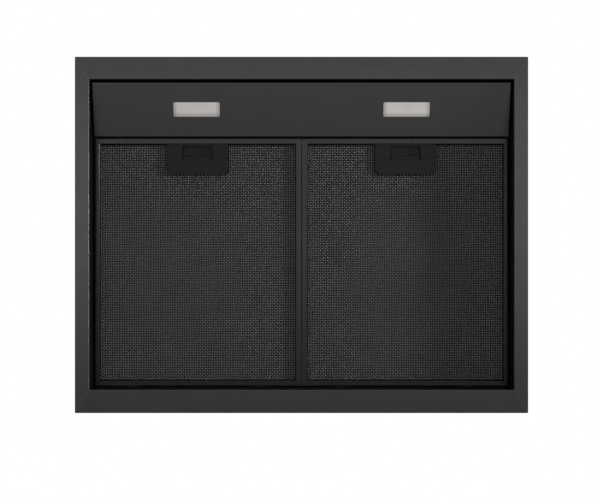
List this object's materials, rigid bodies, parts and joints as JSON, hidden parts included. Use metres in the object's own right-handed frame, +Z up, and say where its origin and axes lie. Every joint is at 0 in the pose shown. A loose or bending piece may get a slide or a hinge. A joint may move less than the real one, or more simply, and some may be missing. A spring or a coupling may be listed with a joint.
{
  "type": "chimney cooker hood",
  "caption": "Wall-mounted chimney cooker hood in black with a flat mitred rim, recessed lamps, hinged mesh grease filters with pull latches, a blower and a telescopic chimney.",
  "frame": {"origin": "centre of the rim's underside, at the bottom of the canopy", "axes": "+X to the right seen from the front, +Y towards the wall, +Z up"},
  "size_m": [0.598, 0.47, 0.6403],
  "materials": {
    "black_paint": "matt black powder coat",
    "dark_paint": "matt black",
    "zinc_steel": "galvanised",
    "filter_black": "black painted aluminium",
    "filter_core": "layered expanded mesh",
    "black_plastic": "moulded, fine grain",
    "grey_plastic": "moulded",
    "fan_plastic": "moulded",
    "lens_plastic": "frosted",
    "circuit_board": "solder mask",
    "motor_metal": "pressed steel cans",
    "shaft_steel": "bright steel"
  },
  "bodies": {
    "canopy": {"canopy_shell": "black_paint", "wall_plates": "zinc_steel", "inner_frame": "dark_paint", "filter_mullion": "dark_paint", "light_panel": "black_paint", "control_bezel": "black_plastic", "control_board": "circuit_board", "control_box": "grey_plastic", "control_box_lid": "grey_plastic", "led_driver": "grey_plastic", "chimney_lower": "black_paint", "blower_casing": "zinc_steel", "scroll_left": "grey_plastic", "scroll_right": "grey_plastic", "motor_body": "motor_metal", "motor_bracket": "zinc_steel", "motor_capacitor": "fan_plastic", "outlet_collar": "fan_plastic", "flap_pins": "shaft_steel", "cable_gland": "black_plastic", "lamp_lens_left": "lens_plastic", "lamp_housing_left": "grey_plastic", "lamp_board_left": "circuit_board", "lamp_lens_right": "lens_plastic", "lamp_housing_right": "grey_plastic", "lamp_board_right": "circuit_board"},
    "filter_left": {"filter_frame_left": "filter_black", "filter_mesh_left": "filter_black", "filter_core_left": "filter_core", "filter_back_left": "filter_black", "latch_bezel_left": "black_plastic"},
    "latch_left": {"latch_slider_left": "black_plastic", "latch_spring_left": "shaft_steel"},
    "filter_right": {"filter_frame_right": "filter_black", "filter_mesh_right": "filter_black", "filter_core_right": "filter_core", "filter_back_right": "filter_black", "latch_bezel_right": "black_plastic"},
    "latch_right": {"latch_slider_right": "black_plastic", "latch_spring_right": "shaft_steel"},
    "impeller": {"impeller": "fan_plastic", "motor_shaft": "shaft_steel"},
    "flap_front": {"flap_front": "fan_plastic"},
    "flap_rear": {"flap_rear": "fan_plastic"},
    "chimney_upper": {"chimney_upper": "black_paint", "chimney_bracket": "zinc_steel"},
    "button_1": {"button_1": "black_plastic"},
    "button_2": {"button_2": "black_plastic"},
    "button_3": {"button_3": "black_plastic"},
    "button_4": {"button_4": "black_plastic"},
    "button_5": {"button_5": "black_plastic"}
  },
  "joints": [
    {"name": "filter_left_hinge", "type": "hinge", "parent": "canopy", "child": "filter_left", "pos_m": [-0.14015, 0.2057, 0.0352], "axis": [1, 0, 0], "range_deg": [0, 45]},
    {"name": "latch_left_slide", "type": "slide", "parent": "filter_left", "child": "latch_left", "axis": [0, 1, 0], "range_m": [0, 0.007], "stiffness_N_per_m": 300, "springref_m": -0.01, "deforming": ["latch_spring_left"]},
    {"name": "filter_right_hinge", "type": "hinge", "parent": "canopy", "child": "filter_right", "pos_m": [0.14015, 0.2057, 0.0352], "axis": [1, 0, 0], "range_deg": [0, 45]},
    {"name": "latch_right_slide", "type": "slide", "parent": "filter_right", "child": "latch_right", "axis": [0, 1, 0], "range_m": [0, 0.007], "stiffness_N_per_m": 300, "springref_m": -0.01, "deforming": ["latch_spring_right"]},
    {"name": "impeller_spin", "type": "hinge", "parent": "canopy", "child": "impeller", "pos_m": [0, 0.0845, 0.179], "axis": [1, 0, 0], "continuous": true},
    {"name": "flap_front_hinge", "type": "hinge", "parent": "canopy", "child": "flap_front", "pos_m": [0, 0.1328, 0.3333], "axis": [-1, 0, 0], "range_deg": [0, 78]},
    {"name": "flap_rear_hinge", "type": "hinge", "parent": "canopy", "child": "flap_rear", "pos_m": [0, 0.1392, 0.3333], "axis": [1, 0, 0], "range_deg": [0, 78]},
    {"name": "chimney_slide", "type": "slide", "parent": "canopy", "child": "chimney_upper", "axis": [0, 0, 1], "range_m": [0, 0.42]},
    {"name": "button_1_press", "type": "slide", "parent": "canopy", "child": "button_1", "axis": [0, 1, 0], "range_m": [0, 0.002], "stiffness_N_per_m": 500, "springref_m": -0.001},
    {"name": "button_2_press", "type": "slide", "parent": "canopy", "child": "button_2", "axis": [0, 1, 0], "range_m": [0, 0.002], "stiffness_N_per_m": 500, "springref_m": -0.001},
    {"name": "button_3_press", "type": "slide", "parent": "canopy", "child": "button_3", "axis": [0, 1, 0], "range_m": [0, 0.002], "stiffness_N_per_m": 500, "springref_m": -0.001},
    {"name": "button_4_press", "type": "slide", "parent": "canopy", "child": "button_4", "axis": [0, 1, 0], "range_m": [0, 0.002], "stiffness_N_per_m": 500, "springref_m": -0.001},
    {"name": "button_5_press", "type": "slide", "parent": "canopy", "child": "button_5", "axis": [0, 1, 0], "range_m": [0, 0.002], "stiffness_N_per_m": 500, "springref_m": -0.001}
  ]
}
